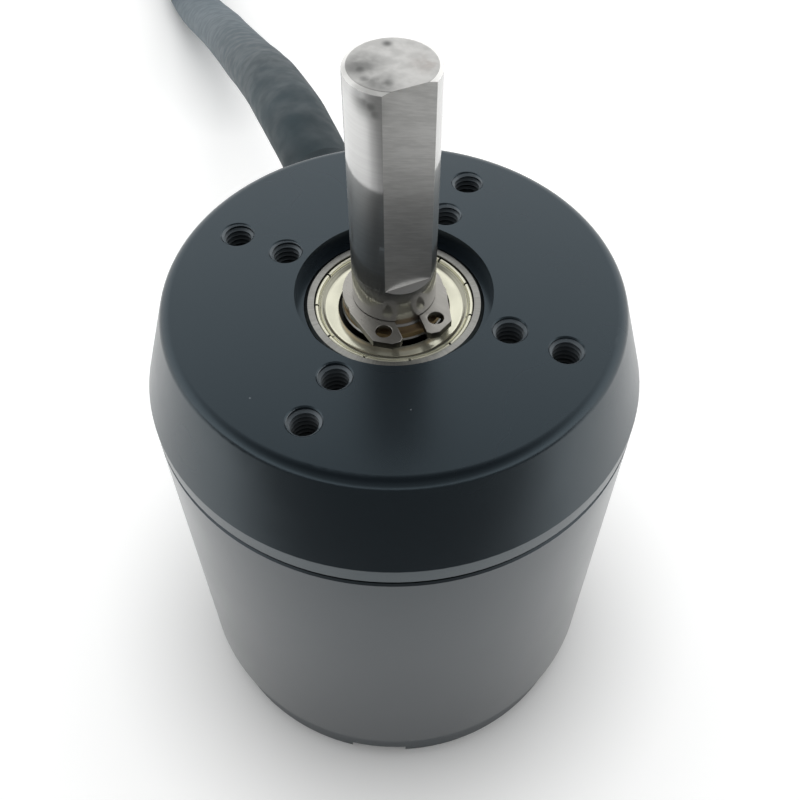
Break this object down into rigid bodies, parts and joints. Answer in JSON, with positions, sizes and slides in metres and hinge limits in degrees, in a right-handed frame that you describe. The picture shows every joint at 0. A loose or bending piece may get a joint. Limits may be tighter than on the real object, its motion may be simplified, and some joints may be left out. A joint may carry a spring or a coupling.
{
  "type": "brushless dc motor",
  "caption": "Sealed outrunner motor with a face mount, a D-cut shaft held by a retaining ring, and a sleeved lead that ends in bullet plugs and a sensor plug.",
  "frame": {"origin": "centre of the mounting face, on the shaft's axis", "axes": "+Z along the shaft, out of the mounting face; +X and +Y through the mounting holes"},
  "size_m": [0.1968, 0.2875, 0.1045],
  "materials": {
    "black_anodised": "black anodised aluminium, satin",
    "black_can": "black coated steel, satin",
    "grommet_rubber": "matte",
    "lead_silicone": "matte",
    "bearing_steel": "ground",
    "shield_steel": "pressed, bright, slightly yellow",
    "spring_steel": "stamped, satin",
    "core_steel": "stacked laminations",
    "insulator_nylon": "moulded",
    "enamelled_copper": "enamelled wire",
    "circuit_board": "solder mask",
    "sensor_plastic": "moulded",
    "shaft_steel": "ground and polished",
    "shim_brass": "rolled",
    "ball_steel": "polished",
    "cage_steel": "pressed",
    "magnet_nickel": "nickel plated",
    "screw_steel": "black oxide",
    "sleeve_silicone": "matte sleeve",
    "boot_shrink": "heat-shrunk",
    "lead_yellow": "silicone",
    "lead_blue": "silicone",
    "lead_green": "silicone",
    "gold_plate": "gold plated",
    "sensor_jacket": "matte",
    "plug_nylon": "moulded"
  },
  "bodies": {
    "stator": {"front_housing": "black_anodised", "cable_grommet": "grommet_rubber", "phase_inner_leads": "lead_silicone", "sensor_inner_leads": "lead_silicone", "front_bearing_outer_ring": "bearing_steel", "rear_bearing_outer_ring": "bearing_steel", "bearing_shields": "shield_steel", "preload_washer": "spring_steel", "stator_core": "core_steel", "front_insulator": "insulator_nylon", "rear_insulator": "insulator_nylon", "coils_phase_a": "enamelled_copper", "coils_phase_b": "enamelled_copper", "coils_phase_c": "enamelled_copper", "sensor_board": "circuit_board", "position_sensors": "sensor_plastic", "cable_sleeve": "sleeve_silicone", "lead_boot": "boot_shrink", "phase_lead_a": "lead_yellow", "phase_lead_b": "lead_blue", "phase_lead_c": "lead_green", "bullet_a": "gold_plate", "bullet_b": "gold_plate", "bullet_c": "gold_plate", "sensor_lead": "sensor_jacket", "sensor_plug": "plug_nylon"},
    "rotor": {"shaft": "shaft_steel", "retaining_ring": "spring_steel", "shim_washer": "shim_brass", "front_bearing_inner_ring": "bearing_steel", "rear_bearing_inner_ring": "bearing_steel", "can": "black_can", "magnets_north": "magnet_nickel", "magnets_south": "magnet_nickel", "rear_cap": "black_anodised", "set_screws": "screw_steel"},
    "front_ball_set": {"front_balls": "ball_steel", "front_ball_cage": "cage_steel"},
    "rear_ball_set": {"rear_balls": "ball_steel", "rear_ball_cage": "cage_steel"}
  },
  "joints": [
    {"name": "rotor_spin", "type": "hinge", "parent": "stator", "child": "rotor", "pos_m": [0, 0, 0], "axis": [0, 0, 1], "continuous": true},
    {"name": "front_balls_spin", "type": "hinge", "parent": "stator", "child": "front_ball_set", "pos_m": [0, 0, -0.005], "axis": [0, 0, 1], "continuous": true},
    {"name": "rear_balls_spin", "type": "hinge", "parent": "stator", "child": "rear_ball_set", "pos_m": [0, 0, -0.059], "axis": [0, 0, 1], "continuous": true}
  ],
  "couplings": [
    {"joint": "front_balls_spin", "follows": "rotor_spin", "ratio": 0.4008},
    {"joint": "rear_balls_spin", "follows": "rotor_spin", "ratio": 0.4008}
  ]
}
